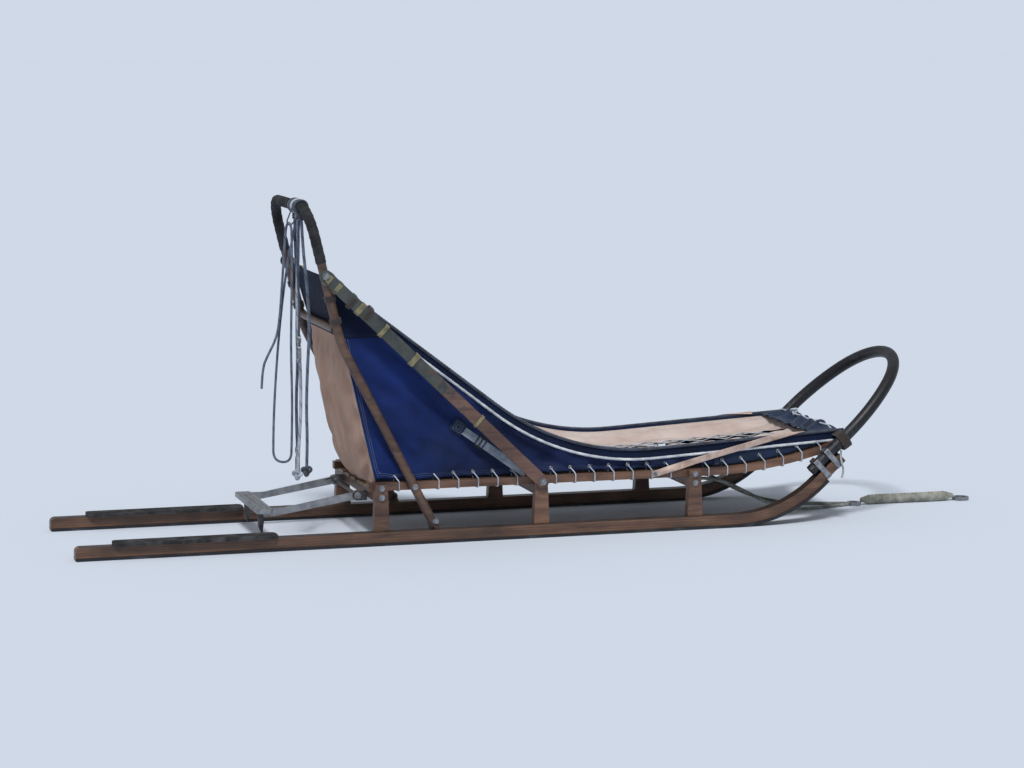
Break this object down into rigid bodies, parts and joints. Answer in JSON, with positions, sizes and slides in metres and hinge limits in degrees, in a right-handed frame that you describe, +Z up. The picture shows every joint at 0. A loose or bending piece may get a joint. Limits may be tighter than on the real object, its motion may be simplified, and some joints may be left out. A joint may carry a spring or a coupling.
{
  "type": "dog sled",
  "caption": "Touring dog sled: bent runners, slatted bed, leaning driving bow, brush bow, cargo bag hung in the frame, foot brake.",
  "frame": {"origin": "on the snow under the shoes, at the middle of the sled's length and width, ropes left out", "axes": "+X the way it travels, +Y its left, +Z up"},
  "size_m": [2.779, 0.552, 0.9698],
  "materials": {
    "runner_wood": "laminated ash, oiled, worn at the tails",
    "shoe_plastic": "dark sliding plastic, scratched lengthwise",
    "pad_rubber": "ribbed rubber tread",
    "frame_wood": "brown varnished ash",
    "brace_wood": "ash with worn grey-green paint",
    "slat_wood": "pale ash slats",
    "grip_tape": "black tape wrap",
    "brush_plastic": "black tube",
    "strap_steel": "steel band straps",
    "bag_blue": "blue coated bag cloth",
    "bag_tan": "tan canvas",
    "flap_tan": "pale tan canvas",
    "bag_navy": "dark navy cloth",
    "hem_rope": "dark braided rope",
    "brake_alloy": "worn alloy",
    "brake_steel": "worn steel",
    "bridle_rope": "dark braided rope",
    "shock_webbing": "grey-green tubular webbing over an elastic core",
    "ring_steel": "zinc plated steel",
    "line_rope": "braided rope, dark grey-blue",
    "line_rope_pale": "braided rope, pale grey"
  },
  "bodies": {
    "sled": {"bag_flap_left": "flap_tan", "bag_flap_right": "flap_tan", "bag_floor": "bag_navy", "bag_hood": "bag_navy", "bag_nose": "bag_navy", "bag_nose_floor": "bag_navy", "bag_rear": "bag_tan", "bag_side_left": "bag_blue", "bag_side_right": "bag_blue", "bed_rail_left": "frame_wood", "bed_rail_right": "frame_wood", "bed_slats": "slat_wood", "bow_crossbar": "frame_wood", "brake_lugs": "brake_steel", "brake_pin": "brake_steel", "brake_springs": "brake_steel", "bridle_eyes": "ring_steel", "bridle_left": "bridle_rope", "bridle_right": "bridle_rope", "bridle_ring": "ring_steel", "brush_bow": "brush_plastic", "brush_bow_clamps": "strap_steel", "crosspiece_front": "frame_wood", "crosspiece_mid": "frame_wood", "crosspiece_rear": "frame_wood", "driving_bow": "frame_wood", "driving_bow_grip": "grip_tape", "foot_pad_left": "pad_rubber", "foot_pad_right": "pad_rubber", "hem_rope_left": "hem_rope", "hem_rope_right": "hem_rope", "line_a": "line_rope", "line_a_snap": "ring_steel", "line_b": "line_rope_pale", "line_c": "line_rope", "line_d": "line_rope", "line_d_snap": "ring_steel", "line_rings": "line_rope", "nose_bar": "brake_alloy", "runner_left": "runner_wood", "runner_right": "runner_wood", "runner_shoe_left": "shoe_plastic", "runner_shoe_right": "shoe_plastic", "shock_absorber": "shock_webbing", "side_brace_left": "brace_wood", "side_brace_right": "brace_wood", "stanchion_front_left": "frame_wood", "stanchion_front_right": "frame_wood", "stanchion_mid_left": "frame_wood", "stanchion_mid_right": "frame_wood", "stanchion_rear_left": "frame_wood", "stanchion_rear_right": "frame_wood", "tow_ring": "ring_steel"},
    "brake": {"brake_frame": "brake_alloy", "brake_claws": "brake_steel"}
  },
  "joints": [
    {"name": "brake_hinge", "type": "hinge", "parent": "sled", "child": "brake", "pos_m": [-0.446, 0, 0.128], "axis": [0, -1, 0], "range_deg": [0, 12], "stiffness_Nm_per_rad": 14, "springref_deg": -28.65}
  ]
}
